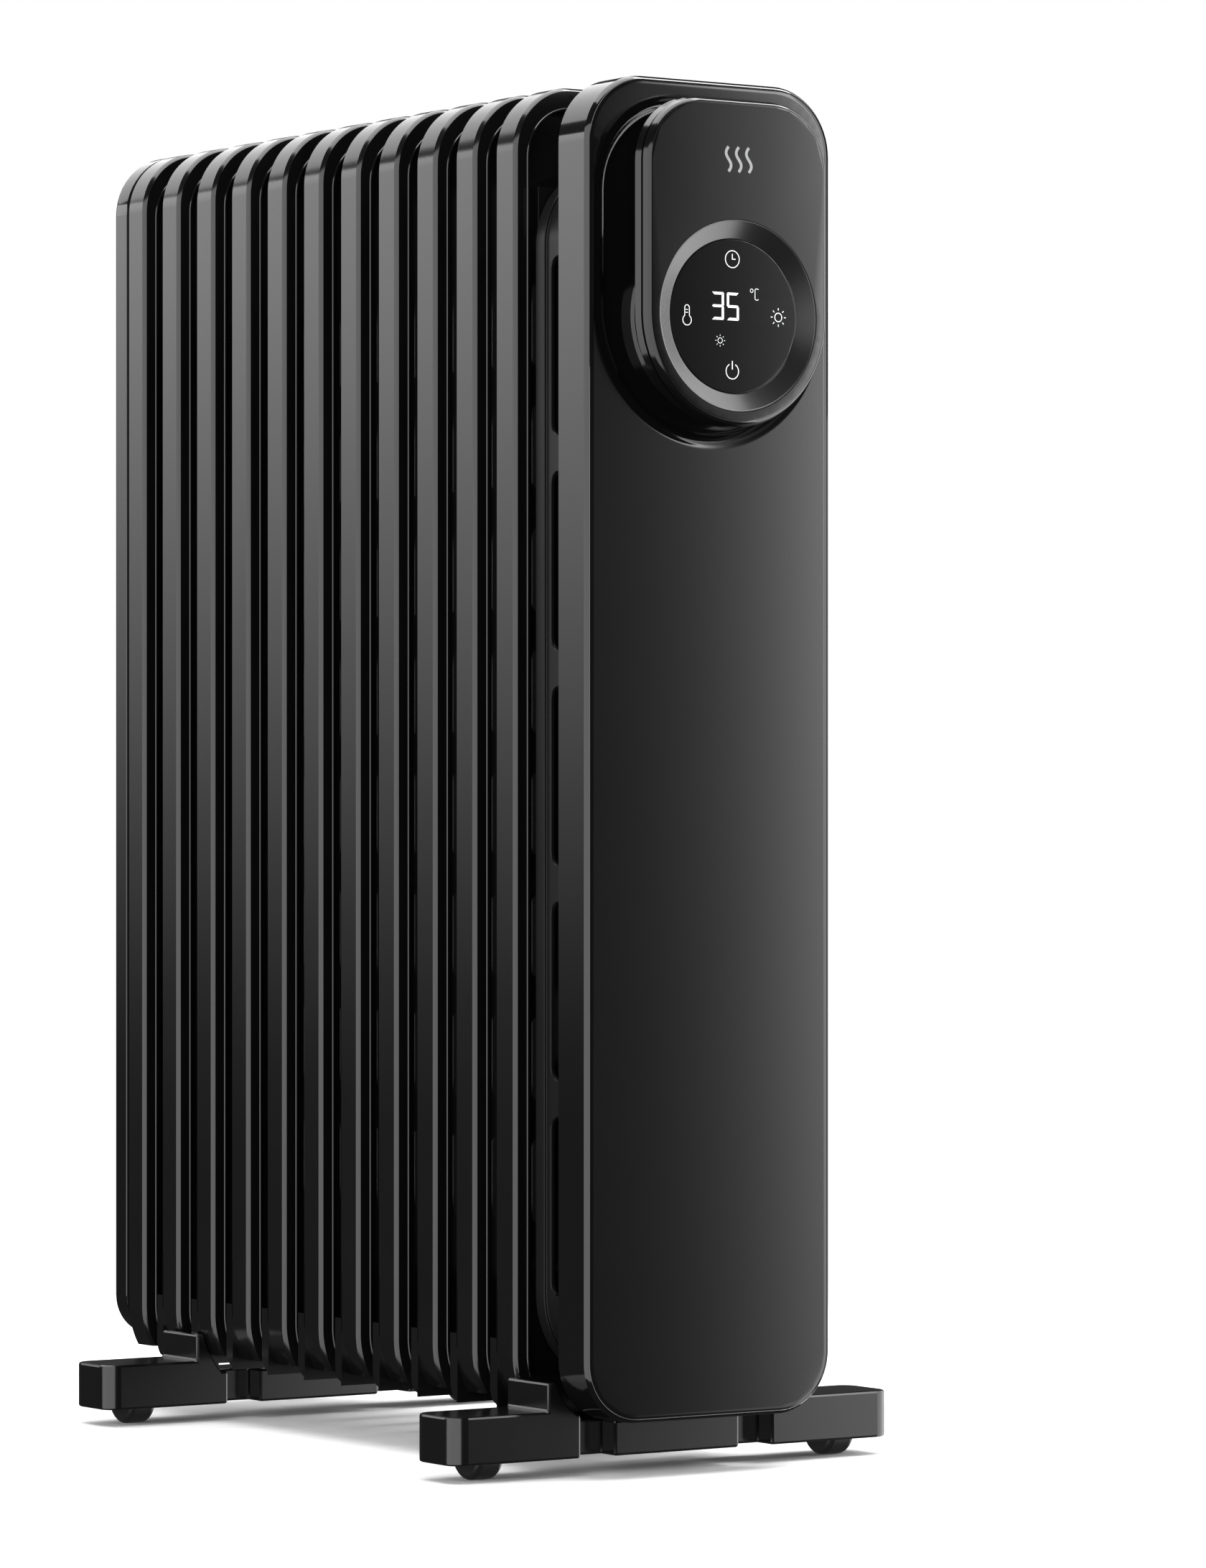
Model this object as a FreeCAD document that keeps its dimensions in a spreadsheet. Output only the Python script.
"""Oil filled radiator heater: an eleven-fin oil core, a control housing with a display, and roller feet.

Frame: millimetres, +Z up, the heater's front faces -Y, X runs across it.  The origin is on the floor, under
the middle of the whole heater.  Every sub-part is a body of its own, drawn in a local frame and set in place
by its Placement.
"""

import FreeCAD, Part

import os
import re

import Sketcher
from FreeCAD import Vector

SIZES = {
    # front panel and the outline that the fins share with it
    "panel_width": 145.0,
    "panel_height": 650.0,
    "panel_depth": 24.5,
    "panel_wall": 2.2,
    "panel_top_radius": 33.0,
    "panel_low_radius": 30.0,
    "panel_lip_radius": 3.0,
    "recess_depth": 4.0,
    "recess_reach": 6.5,
    "recess_slope": 52.0,
    "recess_top_gap": 14.0,
    "recess_top_radius": 40.0,
    "recess_low_gap": 5.0,
    # control pod in front of the panel
    "pod_projection": 24.0,
    "pod_half_width": 53.5,
    "pod_top_gap": 11.0,
    "pod_top_radius": 32.0,
    "pod_wall": 2.0,
    "pod_chamfer": 2.0,
    "plate_depth": 5.0,
    "seal_thickness": 0.6,
    "seal_inset": 1.5,
    "seal_width": 2.0,
    "back_shell_depth": 5.6,
    "display_drop": 115.7,
    "neck_margin": 10.5,
    "neck_wall": 5.0,
    "neck_flange_reach": 5.0,
    "neck_flange_depth": 5.0,
    "ring_margin": 6.9,
    "ring_edge": 0.4,
    "ring_depth": 8.2,
    "ring_slope_width": 9.1,
    "lens_recess": 4.7,
    "lens_thickness": 2.0,
    "lens_shelf": 3.0,
    "display_board_gap": 0.3,
    "board_thickness": 1.6,
    "board_gap": 4.9,
    "module_side_gap": 2.0,
    "module_end_gap": 7.0,
    "touch_key_inset": 12.0,
    "touch_spring_radius": 3.5,
    "ribbon_width": 20.0,
    "ribbon_thickness": 0.6,
    "ribbon_drop": 14.0,
    "ribbon_turn": 20.0,
    # control housing behind the panel
    "housing_half_width": 65.5,
    "housing_rear": 55.0,
    "housing_lid_depth": 8.0,
    "housing_step": 1.5,
    "housing_wall": 2.0,
    "housing_low": 14.0,
    "housing_high": 611.0,
    "housing_low_radius": 46.0,
    "housing_top_radius": 40.0,
    "flange_thickness": 2.2,
    "slip_fit": 0.2,
    "vent_width": 14.0,
    "vent_length": 87.5,
    "vent_pitch": 104.5,
    "vent_rows": 5,
    "vent_low": 59.5,
    "vent_centre": 37.0,
    "plinth_half_width": 30.0,
    "plinth_front": 30.0,
    "gland_height": 138.0,
    "gland_setback": 37.0,
    "gland_radius": 6.0,
    "gland_flange_radius": 8.5,
    "gland_reach": 10.0,
    "gland_flange_thickness": 2.0,
    "gland_inner_reach": 3.0,
    "gland_bore_radius": 3.2,
    # electrics in the housing
    "power_board_half_width": 40.0,
    "power_board_low": 260.0,
    "power_board_high": 440.0,
    "relay_width": 20.0,
    "relay_height": 28.0,
    "relay_depth": 18.0,
    "transformer_width": 30.0,
    "transformer_height": 32.0,
    "transformer_depth": 24.0,
    "capacitor_width": 20.0,
    "capacitor_height": 18.0,
    "capacitor_depth": 15.0,
    "fuse_width": 8.0,
    "fuse_height": 26.0,
    "fuse_depth": 9.0,
    "connector_width": 18.0,
    "connector_height": 16.0,
    "connector_depth": 10.0,
    "post_length": 10.4,
    "post_radius": 3.0,
    "post_inset": 6.0,
    "terminal_width": 36.0,
    "terminal_height": 16.0,
    "terminal_depth": 20.0,
    "lead_radius": 1.6,
    "sensor_height": 60.0,
    "sensor_offset": 44.0,
    "sensor_half_width": 4.0,
    "sensor_half_height": 7.0,
    "sensor_depth": 6.0,
    "cutout_radius": 9.0,
    "cutout_height": 320.0,
    "shield_thickness": 1.0,
    "shield_gap": 2.0,
    "shield_half_width": 62.0,
    "shield_low": 62.0,
    "shield_high": 600.0,
    "tip_switch_offset": 30.0,
    "tip_switch_height": 200.0,
    "tip_case_width": 30.0,
    "tip_case_height": 34.0,
    "tip_case_depth": 14.0,
    "tip_case_wall": 2.0,
    "tip_arm_length": 15.0,
    "tip_arm_width": 3.0,
    "tip_weight_radius": 5.0,
    "tip_pin_radius": 1.25,
    "tip_hub_radius": 3.0,
    "tip_pin_setback": 1.0,
    "tip_weight_setback": 3.0,
    "tip_weight_gap": 2.0,
    "running_clearance": 0.05,
    # oil core
    "fin_count": 11,
    "fin_pitch": 36.16,
    "fin_depth": 16.6,
    "fin_wall": 1.5,
    "fin_sheet": 0.8,
    "fin_lip_radius": 3.2,
    "fin_flange_side": 8.4,
    "fin_flange_top": 11.0,
    "fin_low_start": 30.0,
    "fin_low_radius": 45.0,
    "fin_cut_height": 8.0,
    "web_setback": 7.4,
    "apron_low": 2.6,
    "apron_high": 60.0,
    "apron_hole_radius": 25.0,
    "apron_tab_high": 37.0,
    "apron_tab_depth": 5.7,
    "core_gap": 7.1,
    "slot_inner": 50.0,
    "slot_outer": 58.0,
    "slot_length": 41.0,
    "slot_pitch": 59.94,
    "slot_rows": 8,
    "slot_low": 93.6,
    "vessel_half_width": 34.0,
    "vessel_front": 2.5,
    "vessel_rear": 14.0,
    "hub_low": 40.0,
    "hub_high": 604.0,
    "hub_bore_radius": 20.0,
    "collar_radius": 22.0,
    "hub_cap_radius": 24.0,
    "hub_cap_thickness": 3.0,
    "filler_radius": 8.0,
    "filler_head": 5.0,
    "filler_bite": 2.0,
    "element_rod_radius": 4.2,
    "element_rod_spacing": 18.0,
    "element_end_gap": 9.0,
    "element_flange_thickness": 4.0,
    "element_pin_radius": 2.2,
    "element_pin_reach": 16.0,
    "element_hole_radius": 16.0,
    # fasteners between the core, the housing and the rear cap
    "mount_offset": 46.0,
    "mount_low": 72.0,
    "mount_high": 575.0,
    "standoff_radius": 4.0,
    "bolt_radius": 2.0,
    "bolt_head_radius": 4.0,
    "bolt_head_height": 2.4,
    "panel_screw_offset": 66.9,
    "panel_screw_low": 110.0,
    "panel_screw_high": 440.0,
    "small_screw_radius": 1.3,
    "small_head_radius": 2.6,
    "small_head_height": 1.8,
    "small_boss_radius": 3.0,
    "small_screw_bite": 12.0,
    # rear cap
    "cap_gap": 2.1,
    "cap_depth": 14.1,
    "cap_wall": 2.0,
    "cap_low": 12.0,
    "cap_low_radius": 22.0,
    "cap_boss_radius": 4.5,
    # feet and rollers
    "ground_clearance": 8.8,
    "foot_length": 261.0,
    "foot_overhang": 0.34,
    "foot_height": 23.4,
    "foot_corner_radius": 8.5,
    "foot_setback": 27.5,
    "rear_foot_shift": 2.2,
    "saddle_height": 17.2,
    "saddle_gap": 1.2,
    "saddle_roof": 3.0,
    "cradle_clearance": 0.5,
    "cradle_wall": 3.0,
    "cradle_height": 37.4,
    "cradle_web": 3.6,
    "front_cradle_radius": 29.5,
    "notch_inner": 37.0,
    "notch_outer": 57.0,
    "notch_depth": 12.8,
    "hollow_half_width": 33.0,
    "hollow_wall": 4.0,
    "side_hollow_inner": 61.0,
    "side_hollow_outer": 89.0,
    "side_hollow_height": 13.5,
    "pad_inner": 60.0,
    "pad_outer": 70.0,
    "pad_end_gap": 2.0,
    "pad_web_gap": 1.0,
    "front_pad_inner": 17.0,
    "front_pad_outer": 28.0,
    "front_screw_offset": 11.0,
    "front_screw_end_gap": 1.0,
    "wheel_diameter": 26.5,
    "wheel_width": 15.0,
    "wheel_edge_radius": 3.0,
    "wheel_offset": 105.0,
    "wheel_side_gap": 1.0,
    "wheel_clearance": 1.7,
    "axle_radius": 2.0,
    "axle_overhang": 4.0,
    "clamp_rod_radius": 2.5,
    "clamp_gap": 0.3,
    "clamp_nut_radius": 5.0,
    "clamp_nut_height": 4.0,
    "clamp_end_reach": 2.0,
    "wing_thickness": 2.0,
    "wing_drop": 2.0,
    "wing_reach": 3.0,
    "wing_root": 1.0,
}

PLACES = {
    # where each group of parts starts, measured from the floor and the middle of the heater
    "core_front": "housing_rear + core_gap",
    "core_rear": "core_front + (fin_count - 1) * fin_pitch + fin_depth",
    "stack_depth": "core_rear + cap_gap + cap_depth",
    "panel_y": "pod_projection - (pod_projection + stack_depth) / 2",
    "base_z": "ground_clearance + saddle_height + saddle_gap",
    "core_y": "panel_y + core_front",
    "cap_y": "panel_y + core_rear + cap_gap",
    "last_fin_y": "core_y + (fin_count - 1) * fin_pitch",
    "clamp_y": "last_fin_y - 2 * fin_pitch + (fin_pitch + fin_depth) / 2",
    "foot_depth": "fin_pitch + foot_overhang",
    "front_foot_y": "panel_y + foot_setback + foot_depth / 2",
    "rear_foot_y": "clamp_y + rear_foot_shift",
    "wheel_z": "wheel_diameter / 2",
    "foot_axle_z": "wheel_z - ground_clearance",
    # heights and depths that several parts share, in the panel's own frame
    "half_width": "panel_width / 2",
    "display_z": "panel_height - display_drop",
    "pod_top": "panel_height - pod_top_gap",
    "recess_half_width": "pod_half_width + recess_reach",
    "ring_radius": "pod_half_width - ring_margin",
    "lens_radius": "ring_radius - ring_slope_width",
    "neck_radius": "pod_half_width - neck_margin",
    "neck_bore_radius": "neck_radius - neck_wall",
    "neck_flange_radius": "neck_radius + neck_flange_reach",
    "pod_screw_circle": "neck_radius - neck_wall / 2",
    "display_board_radius": "lens_radius - display_board_gap",
    "touch_key_circle": "lens_radius - touch_key_inset",
    "module_width": "2 * (touch_key_circle - touch_spring_radius - module_side_gap)",
    "module_height": "2 * (touch_key_circle - touch_spring_radius - module_end_gap)",
    "plate_rear": "plate_depth - pod_projection",
    "shell_front": "plate_rear + seal_thickness",
    "shell_rear": "shell_front + back_shell_depth",
    "ring_rear": "ring_depth - pod_projection",
    "lens_front": "lens_recess - pod_projection",
    "lens_rear": "lens_front + lens_thickness",
    "board_front": "lens_rear + board_gap",
    "board_rear": "board_front + board_thickness",
    "recess_floor_rear": "recess_depth + panel_wall",
    "housing_front": "panel_depth - flange_thickness",
    "lid_front": "housing_rear - housing_lid_depth",
    "housing_floor": "housing_rear - housing_wall",
    "web_rear": "web_setback + fin_sheet",
    "collar_length": "fin_pitch - (vessel_rear - vessel_front)",
    "power_board_rear": "housing_floor - post_length",
    "power_board_front": "power_board_rear - board_thickness",
    "vessel_face": "core_front + vessel_front",
    "shield_front": "housing_rear + shield_gap",
}

# the middle and the lower edge of each block on the power board, measured from the board's lower edge
BOARD_PARTS = {
    "relay": [(-26, 14), (0, 14)],
    "transformer": [(-19, 60)],
    "capacitor": [(14, 66)],
    "fuse": [(-30, 106)],
    "connector": [(25, 106)],
}

doc = FreeCAD.newDocument("OilFilledRadiator")
subparts = []


# ---------------------------------------------------------------- sheets and bound values

def fill_sheet(name, cells):
    """Write one alias per row: its name in column A and its value in column B."""
    sheet = doc.addObject("Spreadsheet::Sheet", name)
    for row, (alias, value) in enumerate(cells.items(), start=1):
        sheet.set(f"A{row}", alias)
        sheet.set(f"B{row}", str(value))
        sheet.setAlias(f"B{row}", alias)
    return sheet


def bound(expression):
    """Turn plain alias names into references to the sheet that holds them."""
    def reference(match):
        word = match.group(0)
        if word in SIZES:
            return "Sizes." + word
        if word in PLACES:
            return "Places." + word
        return word
    return re.sub(r"[A-Za-z_][A-Za-z_0-9]*", reference, str(expression))


def number(expression):
    """The present value of an expression."""
    result = sizes_sheet.evalExpression(bound(expression))
    return float(getattr(result, "Value", result))


def bind(item, prop, expression):
    item.setExpression(prop, bound(expression))


sizes_sheet = fill_sheet("Sizes", SIZES)
doc.recompute()
places_sheet = fill_sheet("Places", {alias: "=" + bound(rule) for alias, rule in PLACES.items()})
doc.recompute()


# ---------------------------------------------------------------- bodies, sketches and features

def new_body(label, x="0", y="0", z="0"):
    """A sub-part: a body with its own name and a placement bound to the sheets."""
    body = doc.addObject("PartDesign::Body", label)
    body.Label = label
    bind(body, ".Placement.Base.x", x)
    bind(body, ".Placement.Base.y", y)
    bind(body, ".Placement.Base.z", z)
    subparts.append(body)
    return body


def panel_body(label):
    """A sub-part drawn in the panel's frame: y = 0 on the panel's face, z = 0 at its lower edge."""
    return new_body(label, "0", "panel_y", "base_z")


def origin_feature(body, role):
    return next(item for item in body.Origin.OriginFeatures if item.Role == role)


def new_sketch(body, plane, level="0", shift_u="0", shift_v="0"):
    """A sketch on the body's XY, XZ or YZ plane, moved along the body's third axis to a level."""
    sketch = body.newObject("Sketcher::SketchObject", "Sketch")
    sketch.AttachmentSupport = [(origin_feature(body, plane + "_Plane"), "")]
    sketch.MapMode = "FlatFace"
    sign = "-" if plane == "XZ" else ""
    bind(sketch, ".AttachmentOffset.Base.z", f"{sign}({level})")
    bind(sketch, ".AttachmentOffset.Base.x", shift_u)
    bind(sketch, ".AttachmentOffset.Base.y", shift_v)
    return sketch


def fix(sketch, kind, *where, value):
    """Add a dimension and bind it."""
    index = sketch.addConstraint(Sketcher.Constraint(kind, *where, number(value)))
    bind(sketch, f"Constraints[{index}]", value)


def fix_point(sketch, element, vertex, u, v):
    fix(sketch, "DistanceX", -1, 1, element, vertex, value=u)
    fix(sketch, "DistanceY", -1, 1, element, vertex, value=v)


def add_line(sketch, start, end):
    return sketch.addGeometry(Part.LineSegment(Vector(*start, 0), Vector(*end, 0)), False)


def add_arc(sketch, centre, radius, start_degrees, end_degrees):
    circle = Part.Circle(Vector(*centre, 0), Vector(0, 0, 1), radius)
    turn = FreeCAD.Units.Quantity("1 deg").getValueAs("rad").Value
    return sketch.addGeometry(Part.ArcOfCircle(circle, start_degrees * turn, end_degrees * turn), False)


def join_tangent(sketch, joints):
    for first, first_end, second, second_end in joints:
        sketch.addConstraint(Sketcher.Constraint("Tangent", first, first_end, second, second_end))


def circle(u, v, radius):
    """Outline: a full circle."""
    def draw(sketch):
        shape = Part.Circle(Vector(number(u), number(v), 0), Vector(0, 0, 1), number(radius))
        index = sketch.addGeometry(shape, False)
        fix_point(sketch, index, 3, u, v)
        fix(sketch, "Radius", index, value=radius)
    return draw


def circles(places, radius):
    """Outlines: a circle of one radius at each place."""
    return [circle(u, v, radius) for u, v in places]


def polygon(*points):
    """Outline: straight sides through the given corners."""
    def draw(sketch):
        corners = [(number(u), number(v)) for u, v in points]
        sides = [add_line(sketch, start, end) for start, end in zip(corners, corners[1:] + corners[:1])]
        for i, side in enumerate(sides):
            sketch.addConstraint(Sketcher.Constraint("Coincident", side, 2, sides[(i + 1) % len(sides)], 1))
        for side, (u, v) in zip(sides, points):
            fix_point(sketch, side, 1, u, v)
    return draw


def rectangle(left, right, low, high):
    """Outline: a rectangle with sharp corners."""
    return polygon((left, low), (right, low), (right, high), (left, high))


def rounded(left, right, low, high, low_radius, high_radius):
    """Outline: a rectangle whose lower and upper corners have their own radii."""
    def draw(sketch):
        x0, x1, z0, z1 = number(left), number(right), number(low), number(high)
        r0, r1 = number(low_radius), number(high_radius)
        bottom = add_line(sketch, (x0 + r0, z0), (x1 - r0, z0))
        low_right = add_arc(sketch, (x1 - r0, z0 + r0), r0, 270, 360)
        right_side = add_line(sketch, (x1, z0 + r0), (x1, z1 - r1))
        high_right = add_arc(sketch, (x1 - r1, z1 - r1), r1, 0, 90)
        top = add_line(sketch, (x1 - r1, z1), (x0 + r1, z1))
        high_left = add_arc(sketch, (x0 + r1, z1 - r1), r1, 90, 180)
        left_side = add_line(sketch, (x0, z1 - r1), (x0, z0 + r0))
        low_left = add_arc(sketch, (x0 + r0, z0 + r0), r0, 180, 270)
        loop = [bottom, low_right, right_side, high_right, top, high_left, left_side, low_left]
        join_tangent(sketch, [(a, 2, b, 1) for a, b in zip(loop, loop[1:] + loop[:1])])
        for flat in (bottom, top):
            sketch.addConstraint(Sketcher.Constraint("Horizontal", flat))
        for upright in (left_side, right_side):
            sketch.addConstraint(Sketcher.Constraint("Vertical", upright))
        for corner in (low_left, low_right):
            fix(sketch, "Radius", corner, value=low_radius)
        for corner in (high_left, high_right):
            fix(sketch, "Radius", corner, value=high_radius)
        fix(sketch, "DistanceY", -1, 1, bottom, 1, value=low)
        fix(sketch, "DistanceY", -1, 1, top, 1, value=high)
        fix(sketch, "DistanceX", -1, 1, left_side, 1, value=left)
        fix(sketch, "DistanceX", -1, 1, right_side, 1, value=right)
    return draw


def tombstone(half, centre, high, high_radius):
    """Outline: a half-round lower end about a centre height, straight sides and two upper corners."""
    def draw(sketch):
        x1, zc, z1, r1 = number(half), number(centre), number(high), number(high_radius)
        bowl = add_arc(sketch, (0, zc), x1, 180, 360)
        right_side = add_line(sketch, (x1, zc), (x1, z1 - r1))
        high_right = add_arc(sketch, (x1 - r1, z1 - r1), r1, 0, 90)
        top = add_line(sketch, (x1 - r1, z1), (r1 - x1, z1))
        high_left = add_arc(sketch, (r1 - x1, z1 - r1), r1, 90, 180)
        left_side = add_line(sketch, (-x1, z1 - r1), (-x1, zc))
        loop = [bowl, right_side, high_right, top, high_left, left_side]
        join_tangent(sketch, [(a, 2, b, 1) for a, b in zip(loop, loop[1:] + loop[:1])])
        for upright in (left_side, right_side):
            sketch.addConstraint(Sketcher.Constraint("Vertical", upright))
        sketch.addConstraint(Sketcher.Constraint("Horizontal", top))
        for corner in (high_left, high_right):
            fix(sketch, "Radius", corner, value=high_radius)
        fix(sketch, "Radius", bowl, value=half)
        fix_point(sketch, bowl, 3, "0", centre)
        fix(sketch, "DistanceY", -1, 1, top, 1, value=high)
    return draw


def obround(u, low, high, width):
    """Outline: an upright slot with round ends."""
    def draw(sketch):
        radius = number(width) / 2
        middle, z0, z1 = number(u), number(low) + radius, number(high) - radius
        right_side = add_line(sketch, (middle + radius, z0), (middle + radius, z1))
        upper = add_arc(sketch, (middle, z1), radius, 0, 180)
        left_side = add_line(sketch, (middle - radius, z1), (middle - radius, z0))
        lower = add_arc(sketch, (middle, z0), radius, 180, 360)
        loop = [right_side, upper, left_side, lower]
        join_tangent(sketch, [(a, 2, b, 1) for a, b in zip(loop, loop[1:] + loop[:1])])
        for cap, height in ((lower, f"{low} + ({width}) / 2"), (upper, f"{high} - ({width}) / 2")):
            fix(sketch, "Radius", cap, value=f"({width}) / 2")
            fix_point(sketch, cap, 3, u, height)
    return draw


def prism(body, plane, start, end, *outlines, cut=False):
    """Extrude outlines from start to end along the axis that the plane doesn't hold, adding or cutting."""
    sketch = new_sketch(body, plane, start)
    for draw in outlines:
        draw(sketch)
    feature = body.newObject("PartDesign::Pocket" if cut else "PartDesign::Pad", "Cut" if cut else "Pad")
    feature.Profile = sketch
    feature.Reversed = (plane == "XZ") != cut
    bind(feature, "Length", f"({end}) - ({start})")
    doc.recompute()
    return feature


def cut_prism(body, plane, start, end, *outlines):
    """Cut outlines out of a body, and insist that the cut removed something."""
    before = body.Shape.Volume
    feature = prism(body, plane, start, end, *outlines, cut=True)
    if not body.Shape.Volume < before - 1e-6:
        raise RuntimeError(f"a cut in {body.Label} removes nothing")
    return feature


def revolve(body, outline, height):
    """Turn an outline of (y, radius) points about an axis along Y in the middle plane, at a height."""
    sketch = new_sketch(body, "YZ", "0", "0", height)
    outline(sketch)
    feature = body.newObject("PartDesign::Revolution", "Turned")
    feature.Profile = sketch
    feature.ReferenceAxis = (sketch, ["H_Axis"])
    feature.Angle = 360
    doc.recompute()
    return feature


def repeat_up(body, feature, pitch, count):
    """Repeat a feature upwards at a pitch."""
    pattern = body.newObject("PartDesign::LinearPattern", "Rows")
    pattern.Originals = [feature]
    pattern.Direction = (origin_feature(body, "Z_Axis"), [""])
    bind(pattern, "Length", f"({pitch}) * ({count} - 1)")
    bind(pattern, "Occurrences", count)
    body.Tip = pattern
    doc.recompute()
    return pattern


def edges_where(body, test):
    """Names of the body's edges that pass a test, in the body's own frame."""
    shape = body.Tip.Shape
    return [f"Edge{i}" for i, edge in enumerate(shape.Edges, start=1) if test(edge)]


def lies_in_plane(edge, axis, level):
    box = edge.BoundBox
    low, high = getattr(box, axis + "Min"), getattr(box, axis + "Max")
    return abs(low - level) < 1e-4 and abs(high - level) < 1e-4


def dress(body, kind, size_name, size, test):
    """Fillet or chamfer the edges that pass a test."""
    base = body.Tip
    names = edges_where(body, test)
    feature = body.newObject("PartDesign::" + kind, kind)
    feature.Base = (base, names)
    bind(feature, size_name, size)
    doc.recompute()
    return feature


def round_edges(body, radius, test):
    return dress(body, "Fillet", "Radius", radius, test)


def mirrored_pairs(offset, *heights):
    """Places at plus and minus an offset, at each height."""
    return [(side + offset, height) for height in heights for side in ("", "-")]


# ---------------------------------------------------------------- front panel and control housing

def panel_outline(inset):
    inset = f"({inset})"
    half = f"half_width - {inset}"
    return rounded(f"-({half})", half, inset, f"panel_height - {inset}",
                   f"panel_low_radius - {inset}", f"panel_top_radius - {inset}")


def recess_outline(grow):
    """The smooth hollow round the pod, grown outwards by an amount."""
    grow = f"({grow})"
    return tombstone(f"recess_half_width + {grow}", "display_z + recess_low_gap",
                     f"panel_height - recess_top_gap - panel_wall + {grow}", f"recess_top_radius + {grow}")


def screw_places(low, high):
    return mirrored_pairs("panel_screw_offset", low, high)


def front_panel():
    """Deep-drawn front cover with a rolled front edge and a sloping recess round the pod."""
    body = panel_body("front_panel")
    prism(body, "XZ", "0", "panel_depth", panel_outline("0"))
    round_edges(body, "panel_lip_radius", lambda edge: lies_in_plane(edge, "Y", 0))
    cut_prism(body, "XZ", "panel_wall", "panel_depth", panel_outline("panel_wall"))
    prism(body, "XZ", "panel_wall", "recess_floor_rear", recess_outline("2 * panel_wall"))
    for x, z in screw_places("panel_screw_low", "panel_screw_high"):
        prism(body, "XZ", "panel_wall", "housing_front", circle(x, z, "small_boss_radius"))
    hollow = cut_prism(body, "XZ", "0", "recess_depth", recess_outline("recess_depth * tan(recess_slope)"))
    bind(hollow, "TaperAngle", "-recess_slope")
    doc.recompute()
    cut_prism(body, "XZ", "recess_depth", "recess_floor_rear", circle("0", "display_z", "neck_bore_radius"))
    for x, z in screw_places("panel_screw_low", "panel_screw_high"):
        cut_prism(body, "XZ", "panel_depth - small_screw_bite", "panel_depth",
                  circle(x, z, "small_screw_radius"))
    for x, z in pod_screw_places():
        cut_prism(body, "XZ", "recess_depth", "recess_floor_rear", circle(x, z, "small_screw_radius"))


def housing_outline(inset):
    inset = f"({inset})"
    half = f"housing_half_width - {inset}"
    return rounded(f"-({half})", half, f"housing_low + {inset}", f"housing_high - {inset}",
                   f"housing_low_radius - {inset}", f"housing_top_radius - {inset}")


def mount_places():
    return mirrored_pairs("mount_offset", "mount_low", "mount_high")


def front_screw_places():
    return [side + "front_screw_offset" for side in ("", "-")]


def control_housing():
    """Tray that closes the panel from behind: flange, vented side walls, a lid step and a mounting plinth."""
    body = panel_body("control_housing")
    prism(body, "XZ", "housing_front", "panel_depth", panel_outline("panel_wall + slip_fit"))
    prism(body, "XZ", "housing_front", "lid_front", housing_outline("housing_step"))
    prism(body, "XZ", "lid_front", "housing_rear", housing_outline("0"))
    prism(body, "XZ", "plinth_front", "housing_floor",
          rectangle("-plinth_half_width", "plinth_half_width", "0", "housing_low + 2 * housing_step"))
    cut_prism(body, "XZ", "housing_front", "housing_floor", housing_outline("housing_step + housing_wall"))
    reach = "(housing_half_width + housing_wall)"
    depth = "(housing_step + 3 * housing_wall)"
    left = cut_prism(body, "YZ", f"-{reach}", f"{depth} - {reach}",
                     obround("vent_centre", "vent_low", "vent_low + vent_length", "vent_width"))
    repeat_up(body, left, "vent_pitch", "vent_rows")
    right = cut_prism(body, "YZ", f"{reach} - {depth}", reach,
                      obround("vent_centre", "vent_low + vent_pitch", "vent_low + vent_pitch + vent_length",
                              "vent_width"))
    repeat_up(body, right, "vent_pitch", "vent_rows - 1")
    cut_prism(body, "YZ", f"{reach} - {depth}", reach,
              circle("gland_setback", "gland_height", "gland_radius"))
    cut_prism(body, "XZ", "housing_floor", "housing_rear", circle("0", "hub_low", "element_hole_radius"),
              *circles(mount_places(), "bolt_radius"))
    cut_prism(body, "XZ", "housing_front", "panel_depth",
              *circles(screw_places("panel_screw_low", "panel_screw_high"), "small_screw_radius"))
    cut_prism(body, "XY", "0", "housing_low",
              *[circle(x, "foot_setback + foot_depth / 2", "bolt_radius") for x in front_screw_places()])


def cord_inlet_gland():
    """Bush in the right-hand wall, where the supply cord enters."""
    body = panel_body("cord_inlet_gland")
    outer_face = "housing_half_width - housing_step"
    inner_end = f"{outer_face} - housing_wall - gland_inner_reach"
    outer_end = f"{outer_face} + gland_reach"
    prism(body, "YZ", outer_face, f"{outer_face} + gland_flange_thickness",
          circle("gland_setback", "gland_height", "gland_flange_radius"))
    prism(body, "YZ", inner_end, outer_end, circle("gland_setback", "gland_height", "gland_radius"))
    cut_prism(body, "YZ", inner_end, outer_end, circle("gland_setback", "gland_height", "gland_bore_radius"))


def panel_screws():
    """Four screws through the housing's flange into the panel's bosses."""
    body = panel_body("panel_screws")
    places = screw_places("panel_screw_low", "panel_screw_high")
    prism(body, "XZ", "panel_depth - small_screw_bite", "panel_depth",
          *circles(places, "small_screw_radius"))
    prism(body, "XZ", "panel_depth", "panel_depth + small_head_height",
          *circles(places, "small_head_radius"))


# ---------------------------------------------------------------- control pod

def pod_outline(inset):
    inset = f"({inset})"
    return tombstone(f"pod_half_width - {inset}", "display_z", f"pod_top - {inset}",
                     f"pod_top_radius - {inset}")


def pod_screw_places():
    reach = "pod_screw_circle * cos(45 deg)"
    return [(f"{u} * {reach}", f"display_z + {v} * {reach}") for u in (1, -1) for v in (1, -1)]


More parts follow.
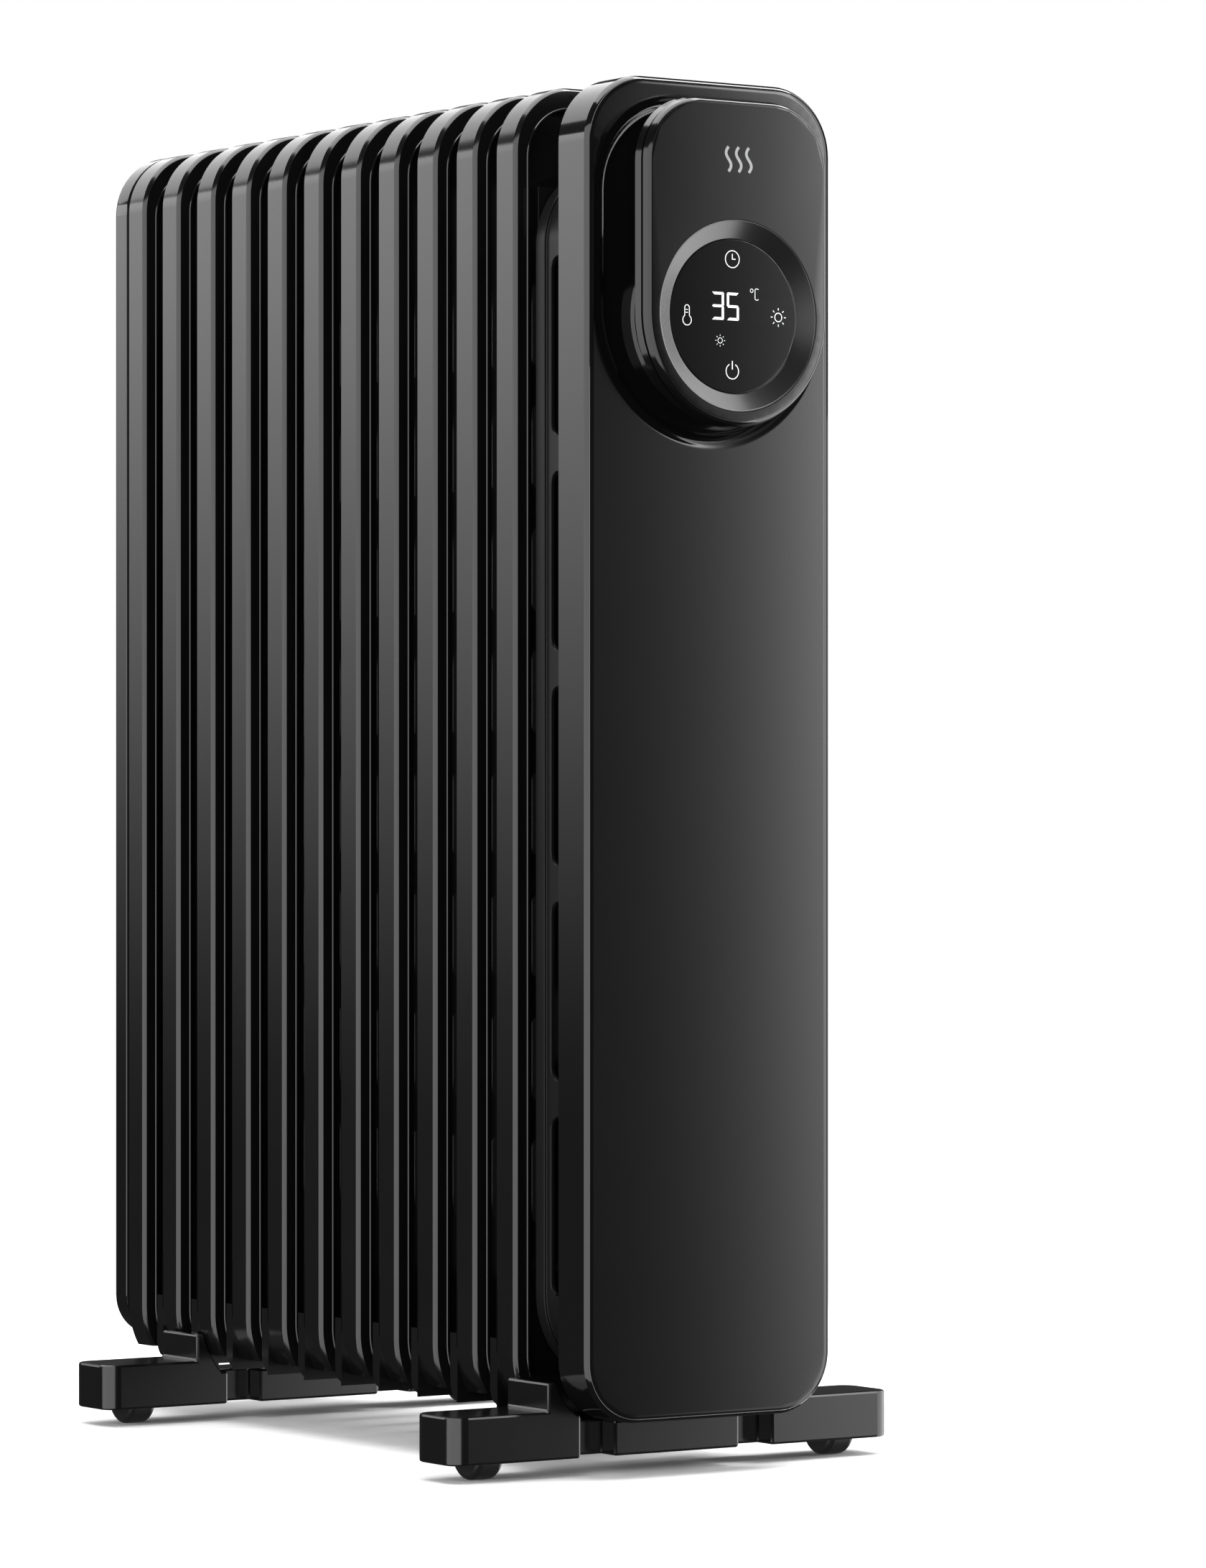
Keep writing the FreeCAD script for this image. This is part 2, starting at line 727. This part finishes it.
def pod_neck():
    """Round neck that carries the pod off the recess floor."""
    body = panel_body("pod_neck")
    flange_front = "recess_depth - neck_flange_depth"
    prism(body, "XZ", flange_front, "recess_depth", circle("0", "display_z", "neck_flange_radius"))
    prism(body, "XZ", "shell_rear", flange_front, circle("0", "display_z", "neck_radius"))
    cut_prism(body, "XZ", "shell_rear", "recess_depth", circle("0", "display_z", "neck_bore_radius"))
    cut_prism(body, "XZ", "recess_floor_rear - small_screw_bite", "recess_depth",
              *circles(pod_screw_places(), "small_screw_radius"))


def pod_screws():
    """Four screws through the recess floor into the neck."""
    body = panel_body("pod_screws")
    prism(body, "XZ", "recess_floor_rear - small_screw_bite", "recess_floor_rear",
          *circles(pod_screw_places(), "small_screw_radius"))
    prism(body, "XZ", "recess_floor_rear", "recess_floor_rear + small_head_height",
          *circles(pod_screw_places(), "small_head_radius"))


def pod_back_shell():
    """Rear half of the pod, open at the front, with a hole over the neck."""
    body = panel_body("pod_back_shell")
    prism(body, "XZ", "shell_front", "shell_rear", pod_outline("0"))
    cut_prism(body, "XZ", "shell_front", "shell_rear - pod_wall", pod_outline("pod_wall"))
    cut_prism(body, "XZ", "shell_rear - pod_wall", "shell_rear", circle("0", "display_z", "neck_bore_radius"))


def pod_seal():
    """Thin gasket in the seam between the pod's two halves."""
    body = panel_body("pod_seal")
    prism(body, "XZ", "plate_rear", "shell_front", pod_outline("seal_inset"))
    cut_prism(body, "XZ", "plate_rear", "shell_front", pod_outline("seal_inset + seal_width"))


def pod_front_plate():
    """Front half of the pod, with a chamfered rim and a round hole for the display ring."""
    body = panel_body("pod_front_plate")
    prism(body, "XZ", "-pod_projection", "plate_rear", pod_outline("0"))
    front = -number("pod_projection")
    dress(body, "Chamfer", "Size", "pod_chamfer", lambda edge: lies_in_plane(edge, "Y", front))
    cut_prism(body, "XZ", "pod_wall + pod_chamfer - pod_projection", "plate_rear", pod_outline("pod_wall"))
    cut_prism(body, "XZ", "-pod_projection", "plate_rear", circle("0", "display_z", "ring_radius"))


def display_ring():
    """Conical bezel that leads the eye down to the lens and holds it on a shelf."""
    body = panel_body("display_ring")
    revolve(body, polygon(("-pod_projection", "ring_radius - ring_edge"), ("lens_front", "lens_radius"),
                          ("lens_rear", "lens_radius"), ("lens_rear", "lens_radius - lens_shelf"),
                          ("ring_rear", "lens_radius - lens_shelf"), ("ring_rear", "ring_radius"),
                          ("-pod_projection", "ring_radius")), height="display_z")


def display_lens():
    """Dark disc over the display and the touch keys."""
    body = panel_body("display_lens")
    prism(body, "XZ", "lens_front", "lens_rear", circle("0", "display_z", "lens_radius"))


def display_board():
    body = panel_body("display_board")
    prism(body, "XZ", "board_front", "board_rear", circle("0", "display_z", "display_board_radius"))


def display_module():
    """Light box of the two digits and the symbols, between the board and the lens."""
    body = panel_body("display_module")
    prism(body, "XZ", "lens_rear", "board_front",
          rectangle("-module_width / 2", "module_width / 2",
                    "display_z - module_height / 2", "display_z + module_height / 2"))


def touch_springs():
    """Four sensing springs that press on the lens behind the touch keys."""
    body = panel_body("touch_springs")
    keys = [("0", "display_z + touch_key_circle"), ("0", "display_z - touch_key_circle"),
            ("touch_key_circle", "display_z"), ("-touch_key_circle", "display_z")]
    prism(body, "XZ", "lens_rear", "board_front", *[circle(x, z, "touch_spring_radius") for x, z in keys])


def display_ribbon():
    """Flat ribbon from the display board through the neck to the power board."""
    body = panel_body("display_ribbon")
    top = "display_z - ribbon_drop"
    turn = "ribbon_turn"
    low = "power_board_high - post_inset"
    prism(body, "YZ", "-ribbon_width / 2", "ribbon_width / 2",
          polygon(("board_rear", top), (turn, top), (turn, low), ("power_board_front", low),
                  ("power_board_front", f"{low} - ribbon_thickness"),
                  (f"{turn} - ribbon_thickness", f"{low} - ribbon_thickness"),
                  (f"{turn} - ribbon_thickness", f"{top} - ribbon_thickness"),
                  ("board_rear", f"{top} - ribbon_thickness")))


# ---------------------------------------------------------------- electrics behind the panel

def power_board():
    body = panel_body("power_board")
    prism(body, "XZ", "power_board_front", "power_board_rear",
          rectangle("-power_board_half_width", "power_board_half_width",
                    "power_board_low", "power_board_high"))


def power_board_parts():
    """Two relays, a transformer, a capacitor, a fuse holder and a connector, each standing on the board."""
    body = panel_body("power_board_parts")
    for kind, places in BOARD_PARTS.items():
        for x, height in places:
            left = f"{x} - {kind}_width / 2"
            low = f"power_board_low + {height}"
            prism(body, "XZ", f"power_board_front - {kind}_depth", "power_board_front",
                  rectangle(left, f"{left} + {kind}_width", low, f"{low} + {kind}_height"))


def board_posts():
    """Four posts that hold the power board off the housing's rear wall."""
    body = panel_body("board_posts")
    places = mirrored_pairs("(power_board_half_width - post_inset)", "power_board_low + post_inset",
                            "power_board_high - 3 * post_inset")
    prism(body, "XZ", "power_board_rear", "housing_floor", *circles(places, "post_radius"))


def terminal_block():
    body = panel_body("terminal_block")
    prism(body, "XZ", "housing_floor - terminal_depth", "housing_floor",
          rectangle("-terminal_width / 2", "terminal_width / 2",
                    "gland_height - terminal_height / 2", "gland_height + terminal_height / 2"))


def internal_leads():
    """Supply lead from the gland to the terminal block, and two leads down to the element's pins."""
    body = panel_body("internal_leads")
    prism(body, "YZ", "terminal_width / 2",
          "housing_half_width - housing_step - housing_wall - gland_inner_reach",
          circle("gland_setback", "gland_height", "gland_bore_radius"))
    pins = [side + "element_rod_spacing / 2" for side in ("", "-")]
    prism(body, "XY", "hub_low + element_pin_radius", "gland_height - terminal_height / 2",
          *[circle(x, "vessel_face - element_pin_reach + lead_radius", "lead_radius") for x in pins])


def room_sensor():
    """Thermistor bead carrier, low in the housing where the room air comes in."""
    body = panel_body("room_sensor")
    prism(body, "XZ", "housing_floor - sensor_depth", "housing_floor",
          rectangle("sensor_offset - sensor_half_width", "sensor_offset + sensor_half_width",
                    "sensor_height - sensor_half_height", "sensor_height + sensor_half_height"))


def heat_shield():
    """Flat sheet between the housing and the first fin."""
    body = panel_body("heat_shield")
    prism(body, "XZ", "shield_front", "shield_front + shield_thickness",
          rectangle("-shield_half_width", "shield_half_width", "shield_low", "shield_high"))
    cut_prism(body, "XZ", "shield_front", "shield_front + shield_thickness",
              *circles(mount_places(), "standoff_radius"))


def thermal_cutout():
    """Bimetal disc that opens the circuit when the oil vessel behind the shield is too hot."""
    body = panel_body("thermal_cutout")
    prism(body, "XZ", "shield_front + shield_thickness", "vessel_face",
          circle("0", "cutout_height", "cutout_radius"))


def housing_standoffs():
    """Four tubes between the housing's rear wall and the first fin's web."""
    body = panel_body("housing_standoffs")
    web_front = "core_front + web_setback"
    prism(body, "XZ", "housing_rear", web_front, *circles(mount_places(), "standoff_radius"))
    cut_prism(body, "XZ", "housing_rear", web_front, *circles(mount_places(), "bolt_radius"))


def housing_bolts():
    """Four bolts from inside the housing through the standoffs and the first fin's web."""
    body = panel_body("housing_bolts")
    prism(body, "XZ", "housing_floor - bolt_head_height", "housing_floor",
          *circles(mount_places(), "bolt_head_radius"))
    prism(body, "XZ", "housing_floor", "core_front + web_rear",
          *circles(mount_places(), "bolt_radius"))
    prism(body, "XZ", "core_front + web_rear", "core_front + web_rear + bolt_head_height",
          *circles(mount_places(), "bolt_head_radius"))


def tip_switch_case():
    """Open-fronted case on the housing's rear wall, in which the tip-over weight hangs."""
    body = panel_body("tip_switch_case")
    half = "tip_case_width / 2"
    top = "tip_switch_height + tip_hub_radius + 2 * tip_case_wall"
    case_front = "housing_floor - tip_case_depth"
    prism(body, "XZ", case_front, "housing_floor",
          rectangle(f"-tip_switch_offset - {half}", f"{half} - tip_switch_offset",
                    f"{top} - tip_case_height", top))
    inner = f"({half} - tip_case_wall)"
    cut_prism(body, "XZ", case_front, "housing_floor - tip_case_wall",
              rectangle(f"-tip_switch_offset - {inner}", f"{inner} - tip_switch_offset",
                        f"{top} - tip_case_height + tip_case_wall", f"{top} - tip_case_wall"))


def tip_switch_pin():
    """Pin that stands out of the case's rear wall and carries the tip-over weight."""
    body = panel_body("tip_switch_pin")
    prism(body, "XZ", "housing_floor - tip_case_depth + tip_pin_setback", "housing_floor - tip_case_wall",
          circle("-tip_switch_offset", "tip_switch_height", "tip_pin_radius"))


def tip_switch_weight():
    """Pendulum that swings when the heater leans and opens the switch."""
    body = new_body("tip_switch_weight", "-tip_switch_offset",
                    "panel_y + housing_floor - tip_case_depth + tip_weight_setback",
                    "base_z + tip_switch_height")
    thickness = "tip_case_depth - tip_case_wall - tip_weight_setback - tip_weight_gap"
    prism(body, "XZ", "0", thickness, circle("0", "0", "tip_hub_radius"))
    prism(body, "XZ", "0", thickness,
          rectangle("-tip_arm_width / 2", "tip_arm_width / 2", "-tip_arm_length", "0"))
    prism(body, "XZ", "0", thickness, circle("0", "-tip_arm_length", "tip_weight_radius"))
    cut_prism(body, "XZ", "0", thickness, circle("0", "0", "tip_pin_radius + running_clearance"))


# ---------------------------------------------------------------- oil core

def fin_outline(side_inset, top_inset):
    """The fin's rim, which sweeps in at the bottom on a larger radius than the panel's."""
    half = f"half_width - {side_inset}"
    return rounded(f"-({half})", half, f"fin_low_start - fin_low_radius + {side_inset}",
                   f"panel_height - {top_inset}", f"fin_low_radius - {side_inset}",
                   f"panel_top_radius - {side_inset}")


def capsule(half, low, high):
    """Outline of the oil vessel: straight sides and round ends about the two hubs."""
    return obround("0", f"{low} - ({half})", f"{high} + ({half})", f"2 * ({half})")


def fin(number_from_rear):
    """One pressed fin: a deep rim, a slotted web and the oil vessel; all but the rearmost have a lower apron."""
    steps = f"(fin_count - {number_from_rear})"
    body = new_body(f"fin_{number_from_rear:02d}", "0", f"core_y + {steps} * fin_pitch", "base_z")
    prism(body, "XZ", "0", "fin_depth", fin_outline("0", "0"))
    round_edges(body, "fin_lip_radius", lambda edge: lies_in_plane(edge, "Y", 0))
    cut_prism(body, "XZ", "0", "fin_wall", fin_outline("fin_flange_side", "fin_flange_top"))
    cut_prism(body, "XZ", "fin_wall", "web_setback", fin_outline("fin_wall", "fin_wall"))
    cut_prism(body, "XZ", "web_rear", "fin_depth", fin_outline("fin_wall", "fin_wall"))
    cut_prism(body, "XZ", "0", "fin_depth",
              rectangle("-half_width", "half_width", "fin_low_start - fin_low_radius", "fin_cut_height"))
    slots = cut_prism(body, "XZ", "web_setback", "web_rear",
                      *[obround(side + "(slot_inner + slot_outer) / 2", "slot_low", "slot_low + slot_length",
                                "slot_outer - slot_inner") for side in ("", "-")])
    repeat_up(body, slots, "slot_pitch", "slot_rows")
    prism(body, "XZ", "vessel_front", "vessel_rear", capsule("vessel_half_width", "hub_low", "hub_high"))
    cut_prism(body, "XZ", "vessel_front + fin_sheet", "vessel_rear - fin_sheet",
              capsule("vessel_half_width - fin_sheet", "hub_low", "hub_high"))
    cut_prism(body, "XZ", "vessel_front", "vessel_rear",
              *[circle("0", height, "hub_bore_radius") for height in ("hub_low", "hub_high")])
    if number_from_rear > 1:
        prism(body, "XZ", "fin_depth - fin_sheet", "fin_depth",
              rectangle("-half_width", "half_width", "apron_low", "apron_high"))
        cut_prism(body, "XZ", "fin_depth - fin_sheet", "fin_depth",
                  circle("0", "hub_low", "apron_hole_radius"))
        for side in (-1, 1):
            prism(body, "XZ", "fin_depth", "fin_depth + apron_tab_depth",
                  rectangle(f"{side} * half_width", f"{side} * (half_width - fin_sheet)",
                            "apron_low + apron_tab_depth", "apron_tab_high"))
    if number_from_rear == number("fin_count"):
        cut_prism(body, "XZ", "web_setback", "web_rear", *circles(mount_places(), "bolt_radius"))
    if number_from_rear == 1:
        cut_prism(body, "XZ", "web_setback", "web_rear",
                  *circles(mount_places(), "small_screw_radius"))


def collars(label, height):
    """Rings that join the hubs of neighbouring fins and let the oil through."""
    body = new_body(label, "0", "core_y", "base_z")
    for gap in range(int(number("fin_count")) - 1):
        start = f"vessel_rear + {gap} * fin_pitch"
        prism(body, "XZ", start, f"{start} + collar_length", circle("0", height, "collar_radius"))
        cut_prism(body, "XZ", start, f"{start} + collar_length", circle("0", height, "hub_bore_radius"))


def hub_caps():
    """Discs that close the upper hub at both ends and the lower hub at the rear."""
    body = new_body("hub_caps", "0", "core_y", "base_z")
    prism(body, "XZ", "vessel_front - hub_cap_thickness", "vessel_front",
          circle("0", "hub_high", "hub_cap_radius"))
    rear = "vessel_rear + (fin_count - 1) * fin_pitch"
    prism(body, "XZ", rear, f"{rear} + hub_cap_thickness",
          *[circle("0", height, "hub_cap_radius") for height in ("hub_low", "hub_high")])
    cut_prism(body, "XZ", rear, f"{rear} + hub_cap_thickness", circle("0", "hub_high", "filler_radius / 2"))


def filler_plug():
    """Plug in the rear of the upper hub, through which the oil was filled."""
    body = new_body("filler_plug", "0", "last_fin_y + vessel_rear", "base_z + hub_high")
    prism(body, "XZ", "-filler_bite", "hub_cap_thickness", circle("0", "0", "filler_radius / 2"))
    hexagon = [(f"filler_radius * cos({60 * i} deg)", f"filler_radius * sin({60 * i} deg)") for i in range(6)]
    prism(body, "XZ", "hub_cap_thickness", "hub_cap_thickness + filler_head", polygon(*hexagon))


def heating_element():
    """Hairpin tube through the lower hub, drawn along its centre line."""
    body = new_body("heating_element", "0", "core_y + vessel_front", "base_z + hub_low")
    half = "element_rod_spacing / 2"
    bend = "last_fin_y - core_y - element_end_gap"
    path = new_sketch(body, "XY")
    x, y = number(half), number(bend)
    left = add_line(path, (-x, 0), (-x, y))
    turn = add_arc(path, (0, y), x, 0, 180)
    right = add_line(path, (x, y), (x, 0))
    join_tangent(path, [(left, 2, turn, 2), (turn, 1, right, 1)])
    fix_point(path, left, 1, f"-{half}", "0")
    fix_point(path, turn, 3, "0", bend)
    fix(path, "Radius", turn, value=half)
    fix(path, "DistanceY", -1, 1, right, 2, value="0")
    section = new_sketch(body, "XZ")
    circle(f"-{half}", "0", "element_rod_radius")(section)
    tube = body.newObject("PartDesign::AdditivePipe", "Hairpin")
    tube.Profile = section
    tube.Spine = (path, ["Edge1", "Edge2", "Edge3"])
    doc.recompute()


def element_flange():
    """Flange that seals the lower hub, with the element's two terminal pins standing out of it."""
    body = new_body("element_flange", "0", "core_y + vessel_front", "base_z + hub_low")
    prism(body, "XZ", "-element_flange_thickness", "0", circle("0", "0", "hub_cap_radius"))
    pins = [side + "element_rod_spacing / 2" for side in ("", "-")]
    prism(body, "XZ", "-element_pin_reach", "-element_flange_thickness",
          *[circle(x, "0", "element_pin_radius") for x in pins])


# ---------------------------------------------------------------- rear cap

def cap_outline(inset):
    half = f"half_width - {inset}"
    return rounded(f"-({half})", half, f"cap_low + {inset}", f"panel_height - {inset}",
                   f"cap_low_radius - {inset}", f"panel_top_radius - {inset}")


def rear_cap():
    """Cover over the rearmost fin, held by screws through that fin's web."""
    body = new_body("rear_cap", "0", "cap_y", "base_z")
    prism(body, "XZ", "0", "cap_depth", cap_outline("0"))
    rear = number("cap_depth")
    round_edges(body, "fin_lip_radius", lambda edge: lies_in_plane(edge, "Y", rear))
    cut_prism(body, "XZ", "0", "cap_depth - cap_wall", cap_outline("cap_wall"))
    web = "web_rear - fin_depth - cap_gap"
    prism(body, "XZ", web, "cap_depth - cap_wall", *circles(mount_places(), "cap_boss_radius"))
    cut_prism(body, "XZ", web, f"{web} + small_screw_bite",
              *circles(mount_places(), "small_screw_radius"))


def rear_cap_screws():
    """Four screws through the rearmost fin's web into the cap's bosses."""
    body = new_body("rear_cap_screws", "0", "last_fin_y", "base_z")
    prism(body, "XZ", "web_setback - small_head_height", "web_setback",
          *circles(mount_places(), "small_head_radius"))
    prism(body, "XZ", "web_setback", "web_rear + small_screw_bite",
          *circles(mount_places(), "small_screw_radius"))


# ---------------------------------------------------------------- feet and rollers

def foot(label, y, cradle_radius, cradle_centre, bolt_offset, bolt_y, bolt_hole):
    """Moulded cross foot: a saddle between two cradle walls, front notches and two roller pockets.

    The front edge of the cradle is a thin web whose inner corners follow the round lower corner in front of
    it.
    """
    body = new_body(label, "0", y, "ground_clearance")
    half_depth = "foot_depth / 2"
    half_length = "foot_length / 2"
    cradle = "(half_width + cradle_clearance)"
    prism(body, "XY", "0", "foot_height",
          rounded(f"-{half_length}", half_length, f"-{half_depth}", half_depth,
                  "foot_corner_radius", "foot_corner_radius"))
    prism(body, "XY", "0", "cradle_height",
          rectangle(f"-{cradle} - cradle_wall", f"{cradle} + cradle_wall", f"-{half_depth}", half_depth))
    cut_prism(body, "XZ", f"-{half_depth}", half_depth,
              rectangle(f"-{cradle}", cradle, "saddle_height", "cradle_height"))
    web = (f"-{half_depth}", f"cradle_web - {half_depth}")
    for side in (-1, 1):
        corner = f"{side} * ({cradle} - {cradle_radius})"
        prism(body, "XZ", *web, rectangle(f"{side} * {cradle}", corner, "saddle_height", "cradle_height"))
        cut_prism(body, "XZ", *web, circle(corner, cradle_centre, cradle_radius))
    prism(body, "XZ", *web, rectangle(f"-{cradle}", cradle, "0", "saddle_height"))
    for side in (-1, 1):
        cut_prism(body, "XY", "0", "foot_height",
                  rectangle(f"{side} * notch_inner", f"{side} * notch_outer", f"-{half_depth}",
                            f"notch_depth - {half_depth}"))
        cut_prism(body, "XY", "0", "side_hollow_height",
                  rectangle(f"{side} * side_hollow_inner", f"{side} * side_hollow_outer",
                            f"hollow_wall - {half_depth}", f"{half_depth} - hollow_wall"))
        wheel_half = "(wheel_width / 2 + wheel_side_gap)"
        cut_prism(body, "XY", "0", "foot_axle_z + wheel_diameter / 2 + wheel_clearance",
                  rectangle(f"{side} * wheel_offset - {wheel_half}", f"{side} * wheel_offset + {wheel_half}",
                            "-wheel_diameter / 2 - wheel_clearance", "wheel_diameter / 2 + wheel_clearance"))
        cut_prism(body, "YZ", f"{side} * wheel_offset - {wheel_half} - axle_overhang",
                  f"{side} * wheel_offset + {wheel_half} + axle_overhang",
                  circle("0", "foot_axle_z", "axle_radius"))
    cut_prism(body, "XY", "0", "saddle_height - saddle_roof",
              rectangle("-hollow_half_width", "hollow_half_width", f"hollow_wall - {half_depth}",
                        f"{half_depth} - hollow_wall"))
    cut_prism(body, "XY", "saddle_height - saddle_roof", "saddle_height",
              *[circle(side + bolt_offset, bolt_y, bolt_hole) for side in ("", "-")])


def foot_pads():
    """Rubber pads: two under the housing's plinth, and two under the fins that rest on the rear foot."""
    body = new_body("foot_pads", "0", "0", "ground_clearance + saddle_height")
    for side in (-1, 1):
        prism(body, "XY", "0", "saddle_gap",
              rectangle(f"{side} * front_pad_inner", f"{side} * front_pad_outer",
                        "panel_y + plinth_front + pad_end_gap", "panel_y + housing_floor - pad_end_gap"))
        prism(body, "XY", "0", "saddle_gap + apron_low",
              rectangle(f"{side} * pad_inner", f"{side} * pad_outer",
                        "rear_foot_y - foot_depth / 2 + cradle_web + pad_web_gap",
                        "rear_foot_y + foot_depth / 2 - cradle_web"))


def front_foot_screws():
    """Two screws up through the front foot's saddle into the housing's plinth."""
    body = new_body("front_foot_screws", "0", "front_foot_y", "ground_clearance")
    roof = "saddle_height - saddle_roof"
    prism(body, "XY", f"{roof} - bolt_head_height", roof,
          *[circle(x, "0", "bolt_head_radius") for x in front_screw_places()])
    prism(body, "XY", roof, "saddle_height + saddle_gap + housing_low - front_screw_end_gap",
          *[circle(x, "0", "bolt_radius") for x in front_screw_places()])


def clamp_leg():
    """How far each leg of the clamp bolt stands from the middle."""
    return "(collar_radius + clamp_gap + clamp_rod_radius)"


def rear_clamp_bolt():
    """U-bolt over the lower collar, with both legs down through the rear foot."""
    body = new_body("rear_clamp_bolt", "0", "clamp_y", "base_z + hub_low")
    leg = clamp_leg()
    foot_end = "-(hub_low + saddle_gap + saddle_roof + clamp_nut_height + clamp_end_reach)"
    path = new_sketch(body, "XZ")
    x, low = number(leg), number(foot_end)
    left = add_line(path, (-x, low), (-x, 0))
    bend = add_arc(path, (0, 0), x, 0, 180)
    right = add_line(path, (x, 0), (x, low))
    join_tangent(path, [(left, 2, bend, 2), (bend, 1, right, 1)])
    fix_point(path, left, 1, f"-{leg}", foot_end)
    fix_point(path, bend, 3, "0", "0")
    fix(path, "Radius", bend, value=leg)
    fix(path, "DistanceY", -1, 1, right, 2, value=foot_end)
    section = new_sketch(body, "XY", foot_end)
    circle(f"-{leg}", "0", "clamp_rod_radius")(section)
    rod = body.newObject("PartDesign::AdditivePipe", "Bow")
    rod.Profile = section
    rod.Spine = (path, ["Edge1", "Edge2", "Edge3"])
    doc.recompute()


def rear_clamp_nuts():
    """Two wing nuts under the rear foot's saddle."""
    body = new_body("rear_clamp_nuts", "0", "clamp_y", "ground_clearance + saddle_height - saddle_roof")
    for side in (-1, 1):
        centre = f"{side} * {clamp_leg()}"
        wing = "(clamp_nut_radius + wing_reach)"
        prism(body, "XY", "-clamp_nut_height", "0", circle(centre, "0", "clamp_nut_radius"))
        prism(body, "XY", "-clamp_nut_height - wing_drop", "-wing_root",
              rectangle(f"{centre} - wing_thickness / 2", f"{centre} + wing_thickness / 2", f"-{wing}", wing))
        cut_prism(body, "XY", "-clamp_nut_height - wing_drop", "0", circle(centre, "0", "clamp_rod_radius"))


def roller(label, side, foot_y):
    """Barrel roller that turns on a cross pin in the foot."""
    body = new_body(label, f"{side} * wheel_offset", foot_y, "wheel_z")
    half = "wheel_width / 2"
    prism(body, "YZ", f"-{half}", half, circle("0", "0", "wheel_diameter / 2"))
    ends = number(half)
    round_edges(body, "wheel_edge_radius",
                lambda edge: lies_in_plane(edge, "X", ends) or lies_in_plane(edge, "X", -ends))
    cut_prism(body, "YZ", f"-{half}", half, circle("0", "0", "axle_radius + running_clearance"))


def roller_axles():
    """Four cross pins, one through each roller."""
    body = new_body("roller_axles", "0", "0", "wheel_z")
    reach = "(wheel_width / 2 + wheel_side_gap + axle_overhang)"
    for foot_y in ("front_foot_y", "rear_foot_y"):
        for side in (-1, 1):
            prism(body, "YZ", f"{side} * wheel_offset - {reach}", f"{side} * wheel_offset + {reach}",
                  circle(foot_y, "0", "axle_radius"))


# ---------------------------------------------------------------- build, check and write

def build():
    front_panel()
    control_housing()
    cord_inlet_gland()
    panel_screws()
    for make in (pod_neck, pod_screws, pod_back_shell, pod_seal, pod_front_plate, display_ring, display_lens,
                 display_board, display_module, touch_springs, display_ribbon):
        make()
    for make in (power_board, power_board_parts, board_posts, terminal_block, internal_leads, room_sensor,
                 heat_shield, thermal_cutout, housing_standoffs, housing_bolts, tip_switch_case,
                 tip_switch_pin, tip_switch_weight):
        make()
    for index in range(1, int(number("fin_count")) + 1):
        fin(index)
    collars("upper_collars", "hub_high")
    collars("lower_collars", "hub_low")
    for make in (hub_caps, filler_plug, heating_element, element_flange, rear_cap, rear_cap_screws):
        make()
    foot("front_foot", "front_foot_y", "front_cradle_radius", "saddle_height + front_cradle_radius",
         "front_screw_offset", "0", "bolt_radius")
    foot("rear_foot", "rear_foot_y", "(fin_low_radius + cradle_clearance)",
         "saddle_height + saddle_gap + fin_low_start", clamp_leg(), "-rear_foot_shift", "clamp_rod_radius")
    for make in (foot_pads, front_foot_screws, rear_clamp_bolt, rear_clamp_nuts, roller_axles):
        make()
    for end, foot_y in (("front", "front_foot_y"), ("rear", "rear_foot_y")):
        for hand, side in (("left", -1), ("right", 1)):
            roller(f"{end}_{hand}_roller", side, foot_y)


def check():
    """Stop if any object of the document failed or any sub-part has no sound shape."""
    doc.recompute()
    for item in doc.Objects:
        if "Invalid" in item.State or "Error" in item.State:
            raise RuntimeError(f"{item.Label} did not compute: {item.State}")
    for item in subparts:
        if item.Shape.isNull() or not item.Shape.isValid() or not item.Shape.Solids:
            raise RuntimeError(f"{item.Label} has no sound shape")


def write():
    os.makedirs("parts", exist_ok=True)
    for item in subparts:
        item.Shape.exportStep(f"parts/{item.Label}.step")
        print(f"{item.Label}: {len(item.Shape.Solids)} solid(s), {item.Shape.Volume / 1000:.1f} cm3")


build()
check()
write()
